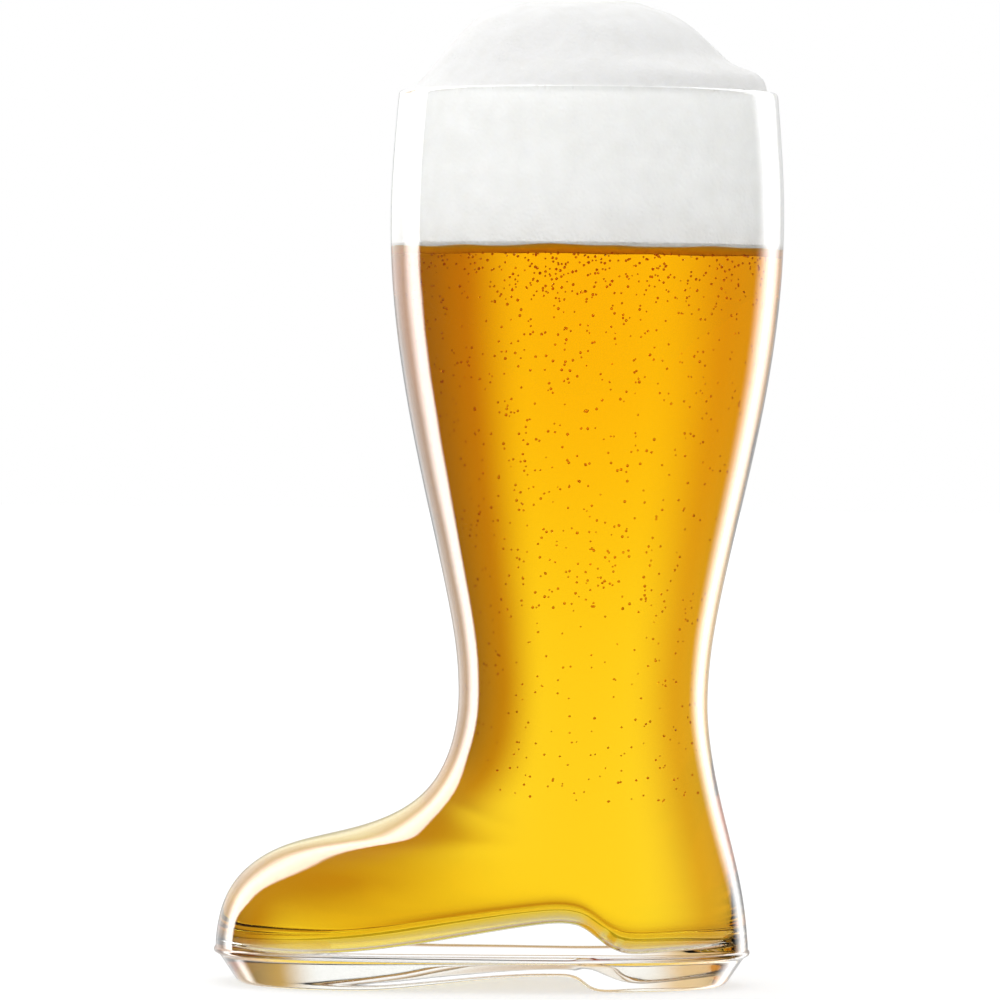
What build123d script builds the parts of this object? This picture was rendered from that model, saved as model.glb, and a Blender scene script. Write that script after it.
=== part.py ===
"""Beer boot glass: one moulded glass boot, the beer in it and the head of foam.

Millimetres. The boot stands on z = 0 with its toe toward -X, its heel toward +X,
and its left and right sides alike about the XZ plane.
"""
from build123d import *
import math
import os

os.makedirs("parts", exist_ok=True)

# Leg: a round tube that swells at the calf and narrows to the ankle.
LEG_AXIS_X = 21.9
RIM_HEIGHT = 230.0
RIM_RADIUS = 48.9
CALF_HEIGHT = 197.0
CALF_RADIUS = 50.9
SHIN_HEIGHT = 138.0
SHIN_RADIUS = 43.8
LOWER_SHIN_HEIGHT = 98.0
LOWER_SHIN_RADIUS = 34.9
ANKLE_HEIGHT = 74.0
ANKLE_RADIUS = 32.1

# Front of the foot, from the throat of the boot down over the vamp to the toe.
THROAT_X = -18.2
THROAT_HEIGHT = 49.9
VAMP_X = -39.2
VAMP_HEIGHT = 39.4
TOE_TOP_X = -60.0
TOE_TOP_HEIGHT = 33.0
TOE_CAP_X = -70.4
TOE_CAP_HEIGHT = 22.0
TOE_X = -72.7

# Back of the foot, and its half width under the leg.
COUNTER_X = 59.7
COUNTER_HEIGHT = 40.0
HEEL_SWELL_X = 64.2
HEEL_SWELL_HEIGHT = 20.0
HEEL_X = 65.3
FOOT_HALF_WIDTH = 31.5
MID_HALF_WIDTH = 31.6
MID_HEIGHT = 38.0

# The toe is full and wide at the sole and turns to a plain oval at the toe box height.
TOE_FULLNESS = 1.25
TOE_BOX_HEIGHT = 34.0

# Sole: stands in under the welt, tapers to the ground and is hollowed at the arch.
WELT_HEIGHT = 8.6
WELT_BEAD = 0.9
WELT_PROUD = 0.35
SOLE_STEP = 1.0
SOLE_TAPER = 5.0
TREAD_ROUND = 2.0
ARCH_START_X = -34.0
ARCH_TOP_X = 20.0
ARCH_RISE = 4.3
ARCH_SLOPE = 0.07
ARCH_TOP_SLOPE = 0.03
BREAST_RUN = 5.0
BREAST_ROUND = 2.0

# Glass thickness in the foot and at the rim.
FOOT_WALL = 4.2
RIM_WALL = 2.8
RIM_ROUND = 0.9

# Floor inside, from the ball over a hump above the arch and down a step to the heel.
BALL_X = -38.0
BALL_FLOOR = 9.6
HUMP_X = 11.0
HUMP_FLOOR = 17.4
STEP_TOP_X = 21.5
STEP_TOP_FLOOR = 16.6
STEP_FOOT_X = 29.5
STEP_FOOT_FLOOR = 11.0
HEEL_FLAT_X = 38.0
HEEL_FLOOR = 10.2
FLOOR_ROUND = 4.5

# Beer level below the rim, and the dome of foam that stands over it.
FOAM_DEPTH = 40.0
DOME_TUCK = 0.6
DOME_FOOT_RADIUS = 40.5
DOME_FOOT_RISE = 6.5
DOME_SHOULDER_RADIUS = 32.0
DOME_SHOULDER_RISE = 15.0
DOME_CROWN_RADIUS = 18.0
DOME_CROWN_RISE = 22.2
DOME_RISE = 23.5

OUTLINE_POINTS = 20
FOOT_SECTIONS = 14
LEG_SECTIONS = 7
INSET_STEPS = 40
FAR = 200.0


def share_at(line, height):
    """Share of its length at which a line that climbs steadily reaches a height."""
    low, high = 0.0, 1.0
    for _ in range(22):
        middle = (low + high) / 2
        if (line @ middle).Z < height:
            low = middle
        else:
            high = middle
    return (low + high) / 2


def x_at(line, height):
    """X of a line that climbs steadily, at the given height."""
    return (line @ share_at(line, height)).X


def wall_at(height):
    """Glass thickness: the foot wall up to the ankle, then thinning evenly to the rim."""
    climb = (height - ANKLE_HEIGHT) / (RIM_HEIGHT - ANKLE_HEIGHT)
    return FOOT_WALL + (RIM_WALL - FOOT_WALL) * min(1.0, max(0.0, climb))


def inset(line, side):
    """The line moved into the glass by the wall thickness; side is +1 or -1 along X."""
    points = []
    for step in range(INSET_STEPS + 1):
        place = line @ (step / INSET_STEPS)
        along = line % (step / INSET_STEPS)
        wall = wall_at(place.Z)
        points.append((place.X + side * along.Z * wall, 0, place.Z - side * along.X * wall))
    return Spline(*points)


def outline(front, back, half_width, height):
    """Closed outline at one height: half an oval behind the leg's axis, a toe before it."""
    toe_reach = LEG_AXIS_X - front
    heel_reach = back - LEG_AXIS_X
    climb = min(2.0, (height - WELT_HEIGHT) / (TOE_BOX_HEIGHT - WELT_HEIGHT))
    fullness = TOE_FULLNESS * (1 - half_width / toe_reach) * math.cos(math.pi / 2 * climb)
    points = []
    for step in range(OUTLINE_POINTS):
        turn = 2 * math.pi * step / OUTLINE_POINTS
        reach, width = heel_reach, half_width * math.sin(turn)
        if math.cos(turn) < 0:
            reach, width = toe_reach, width * (1 + fullness * math.cos(turn) ** 2)
        points.append((LEG_AXIS_X + reach * math.cos(turn), width, height))
    return Face(Wire([Spline(*points, periodic=True)]))


def foot_outline(step_in, height):
    """The outline of the foot at the welt, stepped in evenly and placed at a height."""
    face = outline(TOE_X + step_in, HEEL_X - step_in, FOOT_HALF_WIDTH - step_in, WELT_HEIGHT)
    return Pos(0, 0, height - WELT_HEIGHT) * face


def boot(front, back, side, heights):
    """Solid through the outlines that three lines give at a list of heights."""
    return loft([
        outline(x_at(front, height), x_at(back, height), x_at(side, height), height)
        for height in heights
    ])


def across(face):
    """A face in the XZ plane carried through the whole width of the boot."""
    return extrude(Pos(0, -FAR, 0) * face, amount=2 * FAR, dir=(0, 1, 0))


# The three lines that give the outside: its front, its back and its half width.
leg = (
    (ANKLE_RADIUS, ANKLE_HEIGHT),
    (LOWER_SHIN_RADIUS, LOWER_SHIN_HEIGHT),
    (SHIN_RADIUS, SHIN_HEIGHT),
    (CALF_RADIUS, CALF_HEIGHT),
    (RIM_RADIUS, RIM_HEIGHT),
)
front_line = Spline(
    (TOE_X, 0, WELT_HEIGHT),
    (TOE_CAP_X, 0, TOE_CAP_HEIGHT),
    (TOE_TOP_X, 0, TOE_TOP_HEIGHT),
    (VAMP_X, 0, VAMP_HEIGHT),
    (THROAT_X, 0, THROAT_HEIGHT),
    *[(LEG_AXIS_X - radius, 0, height) for radius, height in leg],
)
back_line = Spline(
    (HEEL_X, 0, WELT_HEIGHT),
    (HEEL_SWELL_X, 0, HEEL_SWELL_HEIGHT),
    (COUNTER_X, 0, COUNTER_HEIGHT),
    *[(LEG_AXIS_X + radius, 0, height) for radius, height in leg],
)
side_line = Spline(
    (FOOT_HALF_WIDTH, 0, WELT_HEIGHT),
    (MID_HALF_WIDTH, 0, MID_HEIGHT),
    *[(radius, 0, height) for radius, height in leg],
)

# Outside above the welt, through sections spaced evenly along the front of the foot and of the leg.
ankle_share = share_at(front_line, ANKLE_HEIGHT)
heights = [(front_line @ (ankle_share * step / FOOT_SECTIONS)).Z for step in range(FOOT_SECTIONS)]
for step in range(LEG_SECTIONS + 1):
    heights.append(ANKLE_HEIGHT + (RIM_HEIGHT - ANKLE_HEIGHT) * step / LEG_SECTIONS)
outside = boot(front_line, back_line, side_line, heights)

# The welt, a bead around the foot where its wall meets the sole.
bead_sections = []
for turn in (-75, -50, -25, 0, 25, 50, 75):
    step_in = WELT_BEAD * (1 - math.cos(math.radians(turn))) - WELT_PROUD
    bead_sections.append(foot_outline(step_in, WELT_HEIGHT + WELT_BEAD * math.sin(math.radians(turn))))
welt = loft(bead_sections)

# Sole under the welt: stepped in, tapered, hollowed between ball and heel.
sole = loft([foot_outline(SOLE_STEP, WELT_HEIGHT), foot_outline(SOLE_STEP + SOLE_TAPER, 0)])
arch_curve = Spline(
    (ARCH_START_X, 0, 0),
    (ARCH_TOP_X, 0, ARCH_RISE),
    tangents=((1, 0, ARCH_SLOPE), (1, 0, ARCH_TOP_SLOPE)),
)
breast_end = (ARCH_TOP_X + 2 * BREAST_RUN, 0, -ARCH_RISE)
breast = Polyline(
    (ARCH_TOP_X, 0, ARCH_RISE), breast_end, (ARCH_START_X, 0, -ARCH_RISE), (ARCH_START_X, 0, 0))
arch = across(Face(Wire([arch_curve, *breast.edges()])))
arch = fillet(arch.edges().filter_by(Axis.Y).sort_by(Axis.Z)[-1], BREAST_ROUND)
sole = sole - arch
low_edges = sole.edges().filter_by(lambda edge: edge.bounding_box().max.Z < ARCH_RISE + 0.5)
sole = fillet(low_edges - low_edges.filter_by(Axis.Y), TREAD_ROUND)

# Inside: the same three lines set in by the wall, over the humped floor.
inside = boot(inset(front_line, 1), inset(back_line, -1), inset(side_line, -1), heights)
floor_line = Spline(
    (TOE_X, 0, BALL_FLOOR),
    (BALL_X, 0, BALL_FLOOR),
    (HUMP_X, 0, HUMP_FLOOR),
    (STEP_TOP_X, 0, STEP_TOP_FLOOR),
    (STEP_FOOT_X, 0, STEP_FOOT_FLOOR),
    (HEEL_FLAT_X, 0, HEEL_FLOOR),
    (HEEL_X, 0, HEEL_FLOOR),
    tangents=((1, 0, 0), (1, 0, 0)),
)
under_floor = Polyline(
    (HEEL_X, 0, HEEL_FLOOR), (HEEL_X, 0, -FAR), (TOE_X, 0, -FAR), (TOE_X, 0, BALL_FLOOR))
inside = inside - across(Face(Wire([floor_line, *under_floor.edges()])))
floor_edges = inside.edges().filter_by(lambda edge: edge.bounding_box().max.Z < ANKLE_HEIGHT)
inside = fillet(floor_edges, FLOOR_ROUND)

# The glass in one piece, with a fire-polished rim.
glass_boot = outside + welt + sole - inside
glass_boot = fillet(glass_boot.edges().group_by(Axis.Z)[-1], RIM_ROUND)

# Beer up to its level, then foam that fills the mouth and stands over the rim as a dome.
beer_level = Plane.XY.offset(RIM_HEIGHT - FOAM_DEPTH)
beer = split(inside, beer_level, keep=Keep.BOTTOM)
dome_base = RIM_RADIUS - RIM_WALL - DOME_TUCK
dome_curve = Spline(
    (0, 0, DOME_RISE),
    (DOME_CROWN_RADIUS, 0, DOME_CROWN_RISE),
    (DOME_SHOULDER_RADIUS, 0, DOME_SHOULDER_RISE),
    (DOME_FOOT_RADIUS, 0, DOME_FOOT_RISE),
    (dome_base, 0, -DOME_TUCK),
    tangents=((1, 0, 0), (0.3, 0, -1)),
)
dome_axis = Polyline((dome_base, 0, -DOME_TUCK), (0, 0, -DOME_TUCK), (0, 0, DOME_RISE))
dome = revolve(Face(Wire([dome_curve, *dome_axis.edges()])), Axis.Z)
foam = split(inside, beer_level, keep=Keep.TOP) + Pos(LEG_AXIS_X, 0, RIM_HEIGHT) * dome

export_step(glass_boot, "parts/glass_boot.step")
export_step(beer, "parts/beer.step")
export_step(foam, "parts/foam.step")
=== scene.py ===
"""Beer boot glass: the moulded glass boot, the beer in it and its head of foam, on a pale studio floor.

Metres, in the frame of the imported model. The section lines below are in millimetres.
"""
import math
import random

import bpy
import numpy as np
from mathutils import Matrix, Vector, noise


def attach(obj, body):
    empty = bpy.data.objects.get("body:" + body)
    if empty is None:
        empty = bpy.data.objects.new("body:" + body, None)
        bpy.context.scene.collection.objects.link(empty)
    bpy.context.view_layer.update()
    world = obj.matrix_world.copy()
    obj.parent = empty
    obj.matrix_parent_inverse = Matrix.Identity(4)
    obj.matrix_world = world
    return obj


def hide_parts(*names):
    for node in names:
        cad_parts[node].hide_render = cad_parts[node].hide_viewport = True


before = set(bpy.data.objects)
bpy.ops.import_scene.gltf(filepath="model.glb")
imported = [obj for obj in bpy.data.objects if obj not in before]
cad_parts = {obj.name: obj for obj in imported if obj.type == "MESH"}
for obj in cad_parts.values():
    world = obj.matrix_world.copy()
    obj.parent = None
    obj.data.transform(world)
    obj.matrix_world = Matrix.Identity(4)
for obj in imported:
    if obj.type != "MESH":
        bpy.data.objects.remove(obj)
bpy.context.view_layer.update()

# Glass boot: one piece of clear soda-lime glass, blown in a boot-shaped mould, with a thin leg,
# a heavier foot, a welt bead, and a thick sole that is hollowed at the arch.
# Its rim is cut and fire-polished round, and its floor inside is humped over the arch.
MM = 0.001
LEG_AXIS = 21.9
RIM, RIM_ROUND = 230.0, 1.1
UNDER_RIM = RIM - 2.0
ANKLE = 74.0
TOE, HEEL, FOOT_SIDE = -72.7, 65.3, 31.5
FOOT_WALL, RIM_WALL, THINS_FROM = 4.2, 2.8, 55.0
WELT, WELT_BEAD, WELT_PROUD = 8.6, 0.9, 0.35
SOLE_STEP, SOLE_TAPER = 1.0, 5.0
TREAD_ROUND, TREAD_RISE = 1.4, 1.7
ARCH_START, ARCH_END, ARCH_RISE, ARCH_SLOPES = -34.0, 20.0, 4.3, (0.88, -0.38)
BREAST_RUN = 5.0
TREAD_IN = 4.0
FLOOR_ROUND, TOE_ROUND_SHARE = 6.5, 0.45
FOOT_RINGS, LEG_RINGS, LEVEL_AFTER = 19, 16, 12.0
LEG = ((32.1, ANKLE), (34.9, 98.0), (43.8, 138.0), (50.9, 197.0), (48.9, RIM))
FRONT = [(TOE, WELT), (-70.4, 22.0), (-60.0, 33.0), (-39.2, 39.4), (-18.2, 49.9)]
FRONT += [(LEG_AXIS - radius, height) for radius, height in LEG]
BACK = [(HEEL, WELT), (64.2, 20.0), (59.7, 40.0)] + [(LEG_AXIS + radius, height) for radius, height in LEG]
SIDE = [
    (FOOT_SIDE, WELT), (32.0, 38.0), (34.0, ANKLE), (36.4, 98.0),
    (44.3, 138.0), (50.9, 197.0), (48.9, RIM)]
FLOOR_OUTLINE, CORNER_GUESS = 20.0, 14.0
FLOOR = (
    (TOE, 10.4), (-38.0, 10.2), (-12.0, 13.6), (11.0, 17.4),
    (22.3, 16.6), (29.2, 11.0), (38.0, 10.2), (HEEL, 10.2))

# Turns around the leg's axis, from the heel: close together beside the breast of the heel.
HEEL_STEPS, TOE_STEPS = 12, 18
to_heel = [math.pi / 2 * (1 - (step / HEEL_STEPS) ** 1.3) for step in range(HEEL_STEPS, -1, -1)]
to_toe = [math.pi / 2 * (1 + (step / TOE_STEPS) ** 1.4) for step in range(1, TOE_STEPS + 1)]
TURNS = np.array(to_heel + to_toe)
TURNS = np.concatenate((TURNS, 2 * math.pi - TURNS[-2:0:-1]))


def smooth_line(points, count=400):
    """Points along the natural cubic curve through a few points."""
    points = np.array(points, float)
    knots = np.concatenate(([0], np.cumsum(np.hypot(*np.diff(points, axis=0).T))))
    gaps = np.diff(knots)
    system = np.eye(len(points))
    right = np.zeros_like(points)
    for i in range(1, len(points) - 1):
        system[i, i - 1:i + 2] = gaps[i - 1], 2 * (gaps[i - 1] + gaps[i]), gaps[i]
        right[i] = 6 * (points[i + 1] - points[i]) / gaps[i] - 6 * (points[i] - points[i - 1]) / gaps[i - 1]
    bend = np.linalg.solve(system, right)
    along = np.linspace(0, knots[-1], count)
    i = np.clip(np.searchsorted(knots, along) - 1, 0, len(gaps) - 1)
    gap = gaps[i][:, None]
    after = (along - knots[i])[:, None] / gap
    before = 1 - after
    return (before * points[i] + after * points[i + 1]
            + gap ** 2 / 6 * ((before ** 3 - before) * bend[i] + (after ** 3 - after) * bend[i + 1]))


# How much fuller than an oval the toe is, at a few heights above the table.
TOE_FULLNESS = smooth_line((
    (0.0, 1.25), (WELT, 1.25), (16.0, 1.25), (22.0, 1.12), (28.0, 0.65), (34.0, 0.05),
    (40.0, -0.12), (47.0, -0.05), (58.0, 0.0), (RIM, 0.0)))


def wall(height):
    """Glass thickness: even in the foot, thinning gently from there to the rim."""
    climb = np.clip((height - THINS_FROM) / (RIM - THINS_FROM), 0, 1)
    return FOOT_WALL - (FOOT_WALL - RIM_WALL) * climb ** 2 * (3 - 2 * climb)


def skin(depth):
    """The front, back and side lines of the boot, moved into the glass by a depth for each height."""
    lines = []
    for points, inward in ((FRONT, 1), (BACK, -1), (SIDE, -1)):
        line = smooth_line(points)
        along = np.gradient(line, axis=0)
        along /= np.hypot(*along.T)[:, None]
        step = inward * depth(line[:, 1])
        lines.append(line + np.stack((along[:, 1] * step, -along[:, 0] * step), axis=1))
    return lines


def outline(front, back, side, height):
    """Points around the boot: half an oval behind the leg's axis, a fuller toe before it."""
    toe_reach = LEG_AXIS - front
    fullness = (1 - side / toe_reach) * np.interp(height, TOE_FULLNESS[:, 0], TOE_FULLNESS[:, 1])
    heelward = np.cos(TURNS)
    x = LEG_AXIS + np.where(heelward < 0, toe_reach, back - LEG_AXIS) * heelward
    y = side * np.sin(TURNS) * (1 + np.where(heelward < 0, fullness * heelward ** 2, 0))
    return np.stack((x, y, np.zeros_like(x) + height), axis=1)


def ring(lines, height, step_in=0.0):
    """One outline of a skin, at a height that may differ around the boot."""
    front, back, side = (np.interp(height, line[:, 1], line[:, 0]) for line in lines)
    return outline(front + step_in, back - step_in, side - step_in, height)


def foot_ring(step_in, height):
    """The outline of the foot at the welt, stepped in evenly and placed at a height."""
    points = outline(TOE + step_in, HEEL - step_in, FOOT_SIDE - step_in, WELT)
    points[:, 2] = height
    return points


def arch(x):
    """Height of the sole's underside: flat ball, hollow arch, steep breast, flat heel.

    The arch is a cubic, whose slopes at both ends are given as shares of its mean slope.
    """
    share = np.clip((x - ARCH_START) / (ARCH_END - ARCH_START), 0, 1)
    first, last = ARCH_SLOPES
    rise = first * share + (3 - 2 * first - last) * share ** 2 + (first + last - 2) * share ** 3
    breast = np.clip((ARCH_END + BREAST_RUN - x) / BREAST_RUN, 0, 1)
    return ARCH_RISE * np.minimum(rise, breast)


def floor(x):
    """Height of the floor inside the boot."""
    line = smooth_line(FLOOR)
    return np.interp(x, line[:, 0], line[:, 1])


def flat(points):
    """A ring pressed on to the boot's middle plane, to close a floor."""
    return points * (1, 0, 1)


def tube(name, rings, lining=0):
    """A mesh through rings of points: a circle extruded once a ring, shaped, closed and smoothed.

    The last rings, as many as lining says, take the piece's second material.
    """
    around = len(TURNS)
    bpy.ops.object.select_all(action="DESELECT")
    bpy.ops.mesh.primitive_circle_add(vertices=around, radius=1, fill_type="NOTHING")
    made = bpy.context.object
    made.name = name
    bpy.ops.object.mode_set(mode="EDIT")
    bpy.ops.mesh.select_all(action="SELECT")
    for _ in rings[1:]:
        bpy.ops.mesh.extrude_region_move(TRANSFORM_OT_translate={"value": (0, 0, 1)})
    bpy.ops.object.mode_set(mode="OBJECT")
    places = np.array([vertex.co for vertex in made.data.vertices])
    rows = np.rint(places[:, 2]).astype(int)
    steps = np.rint(np.arctan2(places[:, 1], places[:, 0]) / (2 * math.pi) * around).astype(int) % around
    made.data.vertices.foreach_set("co", (np.array(rings)[rows, steps] * MM).ravel())
    for face in made.data.polygons:
        if min(rows[i] for i in face.vertices) >= len(rings) - lining:
            face.material_index = 1
    bpy.ops.object.mode_set(mode="EDIT")
    bpy.ops.mesh.select_all(action="SELECT")
    bpy.ops.mesh.remove_doubles(threshold=1e-6)
    bpy.ops.mesh.normals_make_consistent(inside=False)
    bpy.ops.object.mode_set(mode="OBJECT")
    smoothing = made.modifiers.new("smoothing", "SUBSURF")
    smoothing.levels = smoothing.render_levels = 2
    bpy.ops.object.modifier_apply(modifier=smoothing.name)
    bpy.ops.object.shade_smooth()
    return made


def floor_rings(lines, lift):
    """Rings from the middle of the inside floor out to the wall, round the corner between them.

    The corner is sharper at the toe. Its rings are placed three times over, because the height
    of the floor under a point changes with the point's place.
    """
    rings = []
    for step_in in (17.0, 12.0):
        points = ring(lines, FLOOR_OUTLINE, step_in)
        points[:, 2] = floor(points[:, 0]) + lift
        rings.append(points)
    rings.insert(0, flat(rings[0]))
    from_toe = np.clip((np.cos(TURNS) + 0.95) / 0.5, 0, 1)
    corner = FLOOR_ROUND * (TOE_ROUND_SHARE + (1 - TOE_ROUND_SHARE) * from_toe)
    for turn in (0, 22, 45, 68, 90):
        over = corner * (1 - math.sin(math.radians(turn)))
        up = corner * (1 - math.cos(math.radians(turn)))
        points = ring(lines, CORNER_GUESS + up, over)
        for _ in range(3):
            points = ring(lines, floor(points[:, 0]) + lift + up, over)
        rings.append(points)
    return rings


def wall_rings(lines, start, top):
    """Rings up the wall from a ring near the floor to a height, evenly spaced along the front.

    The first ring may rise and fall with the floor, and the rings are level LEVEL_AFTER above it.
    """
    rings = []
    base = start[:, 2].max()
    line = smooth_line(FRONT)
    reach = np.concatenate(([0], np.cumsum(np.hypot(*np.diff(line, axis=0).T))))
    low, knee, high = (np.interp(height, line[:, 1], reach) for height in (base, ANKLE, top))
    foot_stations = np.linspace(low, knee, FOOT_RINGS + 1)[1:]
    leg_stations = np.linspace(knee, high, LEG_RINGS + 1)[1:]
    for station in (*foot_stations, *leg_stations):
        height = np.interp(station, reach, line[:, 1])
        share = np.clip((height - base) / LEVEL_AFTER, 0, 1) ** 0.6
        rings.append(ring(lines, start[:, 2] + (height - start[:, 2]) * share))
    return rings


def rim_rings(lines, inward):
    """Rings over the rounded rim: inward is +1 from the outside wall, -1 from the inside wall."""
    rings = []
    for turn in (0, 30, 60, 90):
        angle = math.radians(turn)
        points = ring(lines, RIM - RIM_ROUND, inward * RIM_ROUND * (1 - math.cos(angle)))
        points[:, 2] = RIM - RIM_ROUND + RIM_ROUND * math.sin(angle)
        rings.append(points)
    return rings


outside = skin(lambda height: 0 * height)
inside = skin(wall)

# The underside from its middle outwards, then round the tread and up the tapered side of the sole.
glass_rings = []
for step_in in (20.0, 12.0, 8.6):
    points = foot_ring(step_in, 0.0)
    points[:, 2] = arch(points[:, 0])
    glass_rings.append(points)
glass_rings.insert(0, flat(glass_rings[0]))
base = arch(foot_ring(TREAD_IN, 0.0)[:, 0])
for share in (0, 0.25, 0.5, 0.75, 1):
    taper = SOLE_STEP + SOLE_TAPER * (1 - base / WELT) + TREAD_ROUND * (1 - share) ** 2 - share ** 2
    glass_rings.append(foot_ring(taper, base + TREAD_RISE * share ** 2))
tread_top = glass_rings[-1]
under_welt = foot_ring(SOLE_STEP, WELT - SOLE_STEP)
for share in (0.4, 0.8, 0.97):
    glass_rings.append(tread_top + (under_welt - tread_top) * share)

# Round the welt bead, up the outside wall, over the rim and back from there to the inside floor.
for turn in (-75, -45, -15, 15, 45, 70):
    angle = math.radians(turn)
    step_in = WELT_BEAD * (1 - math.cos(angle)) - WELT_PROUD
    glass_rings.append(foot_ring(step_in, WELT + WELT_BEAD * math.sin(angle)))
glass_rings.append(ring(outside, WELT + 1.1))
glass_rings += wall_rings(outside, ring(outside, WELT + 1.8), UNDER_RIM)
glass_rings += rim_rings(outside, 1)
inner_rings = floor_rings(inside, 0.0)
inner_rings += wall_rings(inside, inner_rings[-1], UNDER_RIM)
inner_rings += rim_rings(inside, -1)
glass_boot = tube("boot_glass", glass_rings + inner_rings[::-1], len(inner_rings))


class Shade:
    """A socket in a node tree: arithmetic on it adds Math nodes, and node() adds any other node."""

    def __init__(self, tree, socket=None):
        self.tree = tree
        self.socket = socket

    def node(self, kind, settings=None, inputs=None, output=0):
        made = self.tree.nodes.new(kind)
        for name, value in (settings or {}).items():
            if name == "stops":
                for stop, (place, colour) in zip(made.color_ramp.elements, value):
                    stop.position = place
                    stop.color = colour
            else:
                setattr(made, name, value)
        for name, value in (inputs or {}).items():
            if isinstance(value, Shade):
                self.tree.links.new(value.socket, made.inputs[name])
            else:
                made.inputs[name].default_value = value
        return Shade(self.tree, made.outputs[output] if made.outputs else None)

    def math(self, operation, first, second):
        return self.node("ShaderNodeMath", {"operation": operation}, {0: first, 1: second})

    def __add__(self, other):
        return self.math("ADD", self, other)

    def __radd__(self, other):
        return self.math("ADD", other, self)

    def __sub__(self, other):
        return self.math("SUBTRACT", self, other)

    def __rsub__(self, other):
        return self.math("SUBTRACT", other, self)

    def __mul__(self, other):
        return self.math("MULTIPLY", self, other)

    def __rmul__(self, other):
        return self.math("MULTIPLY", other, self)


def new_material(name):
    """A material with an empty node tree, and the tree's Shade to build on."""
    material = bpy.data.materials.new(name)
    material.use_nodes = True
    material.node_tree.nodes.clear()
    return material, Shade(material.node_tree)


GLASS_TINT, GLASS_IOR = (0.985, 0.995, 0.99, 1), 1.5
clear_glass, tree = new_material("clear_moulded_glass")
place = tree.node("ShaderNodeTexCoord", output="Object")
ripple = tree.node("ShaderNodeTexNoise", inputs={"Vector": place, "Scale": 45.0, "Detail": 1.0})
haze = tree.node("ShaderNodeTexNoise", inputs={"Vector": place, "Scale": 300.0, "Detail": 3.0})
waves = tree.node("ShaderNodeBump", inputs={"Strength": 0.25, "Distance": 0.0006, "Height": ripple})
surface = tree.node("ShaderNodeBsdfPrincipled", inputs={
    "Base Color": GLASS_TINT, "Transmission Weight": 1.0, "IOR": GLASS_IOR,
    "Roughness": 0.02 * haze, "Normal": waves})
tree.node("ShaderNodeOutputMaterial", inputs={"Surface": surface})
glass_boot.data.materials.append(clear_glass)

# The wetted inside of the same glass: beer and foam lie against it, so it hardly mirrors.
wet_glass, tree = new_material("wetted_glass")
place = tree.node("ShaderNodeTexCoord", output="Object")
haze = tree.node("ShaderNodeTexNoise", inputs={"Vector": place, "Scale": 300.0, "Detail": 3.0})
surface = tree.node("ShaderNodeBsdfPrincipled", inputs={
    "Base Color": GLASS_TINT, "Transmission Weight": 1.0, "IOR": GLASS_IOR,
    "Specular Tint": (0, 0, 0, 1), "Roughness": 0.02 * haze})
tree.node("ShaderNodeOutputMaterial", inputs={"Surface": surface})
glass_boot.data.materials.append(wet_glass)
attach(glass_boot, "root")
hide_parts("glass_boot")

# Beer: clear golden lager, poured to 40 mm below the rim, with gas bubbles on the glass and rising.
# It fills the boot to the wall, and is let into the glass by a quarter of a millimetre
# so that light passes from one to the other without a film of air.
BEER_LEVEL = 190.0
BEER_TOP = BEER_LEVEL + 1.0
LET_IN = 0.25
wetted = skin(lambda height: wall(height) - LET_IN)
beer_rings = floor_rings(wetted, -LET_IN)
beer_rings += wall_rings(wetted, beer_rings[-1], BEER_LEVEL)
beer_rings.append(ring(wetted, BEER_LEVEL + 0.6))
for step_in in (0.3, 2.0, 20.0):
    beer_rings.append(ring(wetted, BEER_TOP, step_in))
beer_rings.append(beer_rings[-1] * 0 + (LEG_AXIS, 0, BEER_TOP))
beer = tube("beer_body", beer_rings)

# Bubbles on the near side: some cling to the glass of the upper leg, some crowd under the foam,
# and some rise from the instep up. Each has a radius, a height, a turn and a distance from the glass.
CLINGING, CROWDED, RISING = 450, 250, 600
BUBBLE_GAP, BUBBLE_DEPTH = 0.5, 12.0
UNDER_FOAM, UPPER_LEG, FOAM_CROWD = BEER_LEVEL - 2.0, 90.0, 12.0
INSTEP, INSTEP_TO_FOAM = 48.0, 138.0
NEAR_TURN, TURN_SPREAD = 262, 30
random.seed(7)
bubble_places = []
for _ in range(CLINGING):
    size = random.uniform(0.24, 0.44)
    height = UNDER_FOAM - UPPER_LEG * random.random() ** 1.5
    turn = math.radians(random.gauss(NEAR_TURN, TURN_SPREAD))
    bubble_places.append((size, height, turn, size + BUBBLE_GAP))
for _ in range(CROWDED):
    size = random.uniform(0.2, 0.4)
    height = UNDER_FOAM - FOAM_CROWD * random.random() ** 1.5
    turn = random.uniform(math.pi, 2 * math.pi)
    bubble_places.append((size, height, turn, size + BUBBLE_GAP + BUBBLE_DEPTH * random.random() ** 2))
for _ in range(RISING):
    size = random.uniform(0.2, 0.38)
    height = INSTEP + INSTEP_TO_FOAM * random.random()
    turn = random.uniform(math.pi, 2 * math.pi)
    bubble_places.append((size, height, turn, size + BUBBLE_GAP + BUBBLE_DEPTH * random.random() ** 2))
bpy.ops.object.select_all(action="DESELECT")
middle = Vector((LEG_AXIS, 0, 150)) * MM
bpy.ops.mesh.primitive_ico_sphere_add(subdivisions=1, radius=0.5 * MM, location=middle)
bubbles = bpy.context.object
bubbles.name = "beer_bubbles"
bpy.ops.object.transform_apply(location=True)
bpy.ops.object.mode_set(mode="EDIT")
leg_side = wetted[2]
for size, height, turn, inward in bubble_places:
    radius = np.interp(height, leg_side[:, 1], leg_side[:, 0]) - inward
    centre = Vector((LEG_AXIS + radius * math.cos(turn), radius * math.sin(turn), height)) * MM
    bpy.ops.mesh.primitive_ico_sphere_add(subdivisions=1, radius=size * MM, location=centre)
bpy.ops.mesh.select_all(action="SELECT")
bpy.ops.mesh.flip_normals()
bpy.ops.object.mode_set(mode="OBJECT")
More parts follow.
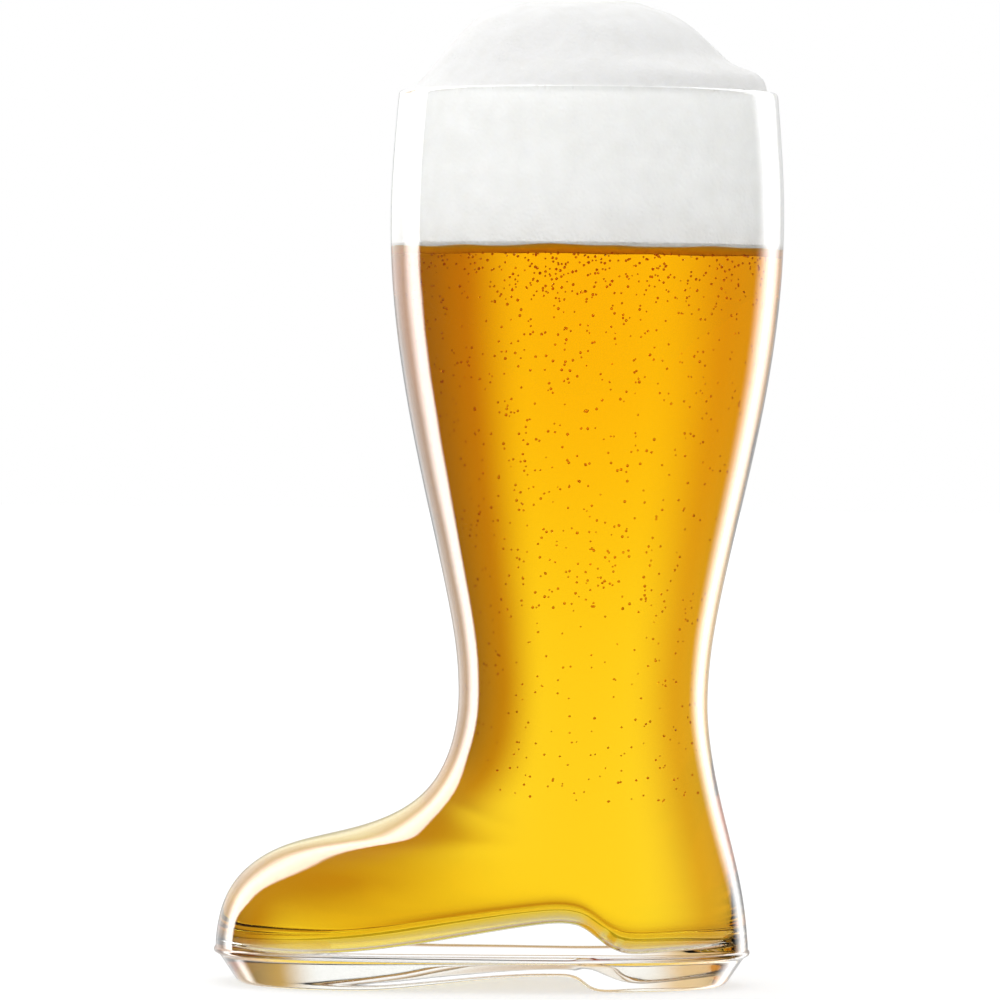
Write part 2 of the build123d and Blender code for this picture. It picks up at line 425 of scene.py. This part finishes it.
bpy.ops.object.shade_smooth()

BEER_IOR = 1.345


def lager_body(tree):
    """The clear body of the beer: red light passes, green is dimmed and blue is stopped."""
    return tree.node("ShaderNodeVolumeAbsorption", inputs={
        "Color": (0.9938, 0.89, 0.0, 1), "Density": 80.0})


lager, tree = new_material("golden_lager")
place = tree.node("ShaderNodeTexCoord", output="Object")
swirl = tree.node("ShaderNodeTexNoise", inputs={"Vector": place, "Scale": 30.0, "Detail": 2.0})
surface = tree.node("ShaderNodeBsdfPrincipled", inputs={
    "Base Color": (1, 1, 1, 1), "Transmission Weight": 1.0, "IOR": BEER_IOR,
    "Specular Tint": (0, 0, 0, 1), "Roughness": 0.01 * swirl})
tree.node("ShaderNodeOutputMaterial", inputs={"Surface": surface, "Volume": lager_body(tree)})
beer.data.materials.append(lager)

# The skin of a bubble mirrors the beer around it, and its specular tint colours that mirror amber, a
# painted reflection of the beer's colour, so it shows as a small brown dot.
bubble_skin, tree = new_material("bubble_skin")
place = tree.node("ShaderNodeTexCoord", output="Object")
swirl = tree.node("ShaderNodeTexNoise", inputs={"Vector": place, "Scale": 300.0})
surface = tree.node("ShaderNodeBsdfPrincipled", inputs={
    "Base Color": (1, 1, 1, 1), "Transmission Weight": 1.0, "IOR": BEER_IOR,
    "Specular Tint": (1.0, 0.6, 0.2, 1), "Roughness": 0.02 * swirl, "Alpha": 0.6})
tree.node("ShaderNodeOutputMaterial", inputs={"Surface": surface, "Volume": lager_body(tree)})
bubbles.data.materials.append(bubble_skin)
beer.select_set(True)
bpy.context.view_layer.objects.active = beer
bpy.ops.object.join()
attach(beer, "root")
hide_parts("beer")

# Foam: the white head of the beer, made of fine cells of gas that rose out of it.
# It fills the mouth of the boot down to the beer, where its edge is ragged, and stands over the rim
# in a soft, lumpy dome, which sags over the rim on the heel side.
FOAM_BASE = BEER_LEVEL - 0.2
FOAM_LET_IN = 0.12
DOME_RINGS = 16
LIP_HEIGHT = 0.7
BIG_LUMP, SMALL_LUMP = (0.8, 11.0), (0.6, 3.6)
DOME_REACH, LUMPS_FROM = 40.0, 4.0

# The dome's profiles are radius and height over the rim, on the toe side and on the heel side.
toe_dome = smooth_line((
    (45.6, 0.0), (42.6, 3.6), (39.7, 7.5), (34.6, 14.0),
    (29.5, 18.2), (22.0, 21.6), (12.0, 22.8), (0.3, 23.1)), DOME_RINGS)
heel_dome = smooth_line((
    (46.2, 0.4), (45.4, 3.6), (40.0, 6.1), (35.0, 8.8),
    (29.8, 14.8), (22.1, 19.8), (12.0, 22.7), (0.3, 23.1)), DOME_RINGS)
pressed = skin(lambda height: wall(height) - FOAM_LET_IN)


def ragged(waves, seed):
    """An uneven line around the leg: noise along a circle, so that its ends meet."""
    circle = [Vector((waves * math.cos(turn), waves * math.sin(turn), seed)) for turn in TURNS]
    return np.array([noise.noise(place) for place in circle])


lip = ragged(3.2, 4.0) + ragged(14.0, 9.0)
foam_rings = []
for step_in in (20.0, 3.0, 0.6, 0.0):
    foam_rings.append(ring(pressed, FOAM_BASE + LIP_HEIGHT * lip, step_in))
foam_rings.insert(0, foam_rings[0] * 0 + (LEG_AXIS, 0, FOAM_BASE))
underside = len(foam_rings)
for rise in (0.8, 2.5, 6.0, 14.0, 22.0, 30.0, 36.0, 38.8):
    foam_rings.append(ring(pressed, BEER_LEVEL + rise))
heel_side = (0.5 + 0.5 * np.cos(TURNS))[:, None]
inside_dome = np.array((LEG_AXIS, 0, RIM - 12.0))
for toe_place, heel_place in zip(toe_dome, heel_dome):
    radius, rise = (toe_place + (heel_place - toe_place) * heel_side).T
    points = np.stack((LEG_AXIS + radius * np.cos(TURNS), radius * np.sin(TURNS), RIM + rise), axis=1)
    for i, point in enumerate(points):
        lump = sum(amount * noise.noise(Vector(point) / size) for amount, size in (BIG_LUMP, SMALL_LUMP))
        points[i] += (point - inside_dome) / DOME_REACH * lump * min(1, rise[i] / LUMPS_FROM)
    foam_rings.append(points)
foam_rings.append(foam_rings[-1] * 0 + foam_rings[-1].mean(axis=0))
foam = tube("foam_head", foam_rings[::-1], underside)

froth, tree = new_material("fine_froth")
place = tree.node("ShaderNodeTexCoord", output="Object")
cells = tree.node("ShaderNodeTexVoronoi", {"feature": "SMOOTH_F1"}, {"Vector": place, "Scale": 1100.0})
mottle = tree.node("ShaderNodeTexNoise", inputs={"Vector": place, "Scale": 160.0, "Detail": 4.0})
tint = tree.node("ShaderNodeValToRGB", {"stops": (
    (0.3, (0.92, 0.917, 0.90, 1)), (0.7, (0.975, 0.975, 0.968, 1)))}, {"Fac": mottle})
relief = tree.node("ShaderNodeBump", inputs={
    "Strength": 0.5, "Distance": 0.0004, "Height": cells + 1.5 * mottle})
surface = tree.node("ShaderNodeBsdfPrincipled", inputs={
    "Base Color": tint, "Roughness": 0.9 - 0.2 * mottle, "Subsurface Weight": 0.3,
    "Subsurface Radius": (1.0, 0.95, 0.85), "Subsurface Scale": 0.002, "Normal": relief})
tree.node("ShaderNodeOutputMaterial", inputs={"Surface": surface})
foam.data.materials.append(froth)

# The underside of the head, where the cells are soaked with beer. Its orange base colour is partly the
# soaked cells' own colour and partly painted light: it stands in for the amber light that reaches the
# underside through the beer.
soaked_and_amber_lit, tree = new_material("soaked_and_amber_lit_froth")
place = tree.node("ShaderNodeTexCoord", output="Object")
mottle = tree.node("ShaderNodeTexNoise", inputs={"Vector": place, "Scale": 160.0, "Detail": 4.0})
surface = tree.node("ShaderNodeBsdfPrincipled", inputs={
    "Base Color": (1.0, 0.7, 0.3, 1), "Roughness": 0.9 - 0.2 * mottle})
tree.node("ShaderNodeOutputMaterial", inputs={"Surface": surface})
foam.data.materials.append(soaked_and_amber_lit)
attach(foam, "root")
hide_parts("foam")

# Studio: a pale matt floor that reads white, under a tent of soft light with no lamps in it.
# Through the glass the tent shows a white panel, a warm room and an amber table,
# and the glass mirrors a bright hoop, which draws the white lines along its edges.
FLOOR_GLOW = 0.62
bpy.ops.object.select_all(action="DESELECT")
bpy.ops.mesh.primitive_plane_add(size=12.0)
studio_floor = bpy.context.object
studio_floor.name = "studio_floor"
pale, tree = new_material("pale_floor")
camera_ray = tree.node("ShaderNodeLightPath", output="Is Camera Ray")
glass_ray = tree.math("MAXIMUM", tree.node("ShaderNodeLightPath", output="Is Transmission Ray"),
                      tree.node("ShaderNodeLightPath", output="Is Glossy Ray"))
matt = tree.node("ShaderNodeBsdfDiffuse", inputs={"Color": (0.5, 0.5, 0.5, 1)})
glow = tree.node("ShaderNodeEmission", inputs={"Color": (1, 1, 1, 1), "Strength": FLOOR_GLOW * camera_ray})
board = tree.node("ShaderNodeAddShader", inputs={0: matt, 1: glow})
unseen = tree.node("ShaderNodeBsdfTransparent")
tree.node("ShaderNodeOutputMaterial", inputs={
    "Surface": tree.node("ShaderNodeMixShader", inputs={0: glass_ray, 1: board, 2: unseen})})
studio_floor.data.materials.append(pale)


def ramp(value, low, high, start=0.0, end=1.0):
    """A smooth change from start to end as a value climbs from low to high."""
    return value.node("ShaderNodeMapRange", {"interpolation_type": "SMOOTHSTEP"}, {
        "Value": value, "From Min": low, "From Max": high, "To Min": start, "To Max": end})


world = bpy.data.worlds.new("studio_tent")
world.use_nodes = True
world.node_tree.nodes.clear()
bpy.context.scene.world = world
tree = Shade(world.node_tree)

# A direction's parts, each from -1 to 1: towards the heel, away behind the boot, and up.
direction = tree.node("ShaderNodeTexCoord", output="Generated")
across, away, above = (
    tree.node("ShaderNodeSeparateXYZ", inputs={0: direction}, output=axis) for axis in "XYZ")

# Seen through the glass: the panel stands behind the boot, with the room beside it and in front.
# The table lies below them, and straight down is the pale floor.
PANEL_LIGHT, TABLE_LIGHT, FLOOR_LIGHT = 1.13, 0.6, 0.7
beside = ramp(across, 0.16, 0.38) + ramp(across, -0.45, -0.15, 0.8, 0.0)
off_panel = tree.math("MAXIMUM", beside, ramp(away, 0.1, 0.45, 1.0, 0.0))
low = ramp(above, -0.45, -0.08, 1.0, 0.0)
downward = ramp(above, -0.75, -0.5, 1.0, 0.0)
panel_light = PANEL_LIGHT * (1 - off_panel) * (1 - low) * ramp(above, 0.3, 0.8, 1.0, 0.45)
room_light = ramp(across, -0.1, 0.3, 0.78, 0.64) - ramp(across, 0.3, 0.6, 0.0, 0.26)
room_light = off_panel * (1 - low) * room_light
table_light = TABLE_LIGHT * low * (1 - downward)

# Mirrored: the hoop stands around the back of the boot, open below and widest above.
# On the heel side it is softer, and a dim backdrop lies behind all of it.
HOOP_LIGHT, SOFT_HOOP_LIGHT, BACKDROP_LIGHT, DARK_FRONT = 9.8, 6.0, 1.35, 0.06
widened = away + ramp(above, 0.1, 0.5, 0.0, 0.13)
hoop = HOOP_LIGHT * ramp(widened, 0.43, 0.50) * ramp(away, 0.52, 0.78, 1.0, 0.0)
hoop = hoop * ramp(above, -0.65, -0.5) * ramp(across, -0.2, -0.02, 1.0, 0.25)
softly_widened = away + ramp(above, 0.05, 0.3, 0.0, 0.18)
soft_hoop = SOFT_HOOP_LIGHT * ramp(softly_widened, 0.44, 0.74) * ramp(away, 0.72, 0.96, 1.0, 0.0)
heelward = ramp(across, 0.15, 0.4)
backdrop = ramp(away, 0.5, 0.66, 0.0, BACKDROP_LIGHT) * (1 + ramp(above, 0.1, 0.4, 0.0, 0.3))
backdrop = backdrop - ramp(away, 0.94, 0.99, 0.0, 0.8)
mirrored = DARK_FRONT + backdrop * (1 - 0.7 * heelward) + hoop + (soft_hoop - hoop) * heelward
mirrored = mirrored + FLOOR_LIGHT * downward

# On the foam: light through the glass, weaker from below, and open light over the rim.
# Both are stronger from the toe side.
FOAM_LIGHT = 1.92
foam_light = FOAM_LIGHT + ramp(across, -0.95, -0.4, 0.35, 0.0) - ramp(above, -0.6, 0.2, 0.6, 0.0)
foam_light = foam_light - ramp(across, 0.3, 0.9, 0.0, 0.3)
open_light = ramp(across, -0.8, 0.9, 1.15, 0.8)

# Each kind of ray meets the light that was made for it.
camera_ray = tree.node("ShaderNodeLightPath", output="Is Camera Ray")
through_ray = tree.node("ShaderNodeLightPath", output="Is Transmission Ray")
mirror_ray = tree.node("ShaderNodeLightPath", output="Is Glossy Ray") * (1 - through_ray)
plain_ray = 1 - camera_ray - through_ray - mirror_ray
diffuse_depth = tree.node("ShaderNodeLightPath", output="Diffuse Depth")
to_foam = through_ray * tree.math("MINIMUM", 1.0, diffuse_depth)
seen_through = through_ray - to_foam
white_light = camera_ray + (panel_light + FLOOR_LIGHT * downward) * seen_through
white_light = white_light + foam_light * to_foam + mirrored * mirror_ray + open_light * plain_ray
white = tree.node("ShaderNodeBackground", inputs={"Color": (1, 1, 1, 1), "Strength": white_light})
room = tree.node("ShaderNodeBackground", inputs={
    "Color": (1.0, 0.6, 0.12, 1), "Strength": room_light * seen_through})
table = tree.node("ShaderNodeBackground", inputs={
    "Color": (1.0, 0.64, 0.32, 1), "Strength": table_light * seen_through})
warm = tree.node("ShaderNodeAddShader", inputs={0: room, 1: table})
tent = tree.node("ShaderNodeAddShader", inputs={0: white, 1: warm})
tree.node("ShaderNodeOutputWorld", inputs={"Surface": tent})

# Camera: a long lens a little above the middle of the boot and a little under two metres away,
# tipped down to the middle of the picture and turned by half a degree.
CAMERA_AWAY, CAMERA_HEIGHT, AIM_HEIGHT = 1.85, 0.16, 0.1248
CAMERA_TURN = math.radians(0.5)
lens = bpy.data.cameras.new("camera")
lens.sensor_width = 36.0
lens.lens = 258.5
camera = bpy.data.objects.new("camera", lens)
bpy.context.collection.objects.link(camera)
camera.location = (0, -CAMERA_AWAY, CAMERA_HEIGHT)
tip = math.atan((CAMERA_HEIGHT - AIM_HEIGHT) / CAMERA_AWAY)
aim = Matrix.Rotation(math.pi / 2 - tip, 4, "X") @ Matrix.Rotation(CAMERA_TURN, 4, "Z")
camera.rotation_euler = aim.to_euler()
bpy.context.scene.camera = camera
bpy.context.scene.view_settings.view_transform = "Standard"
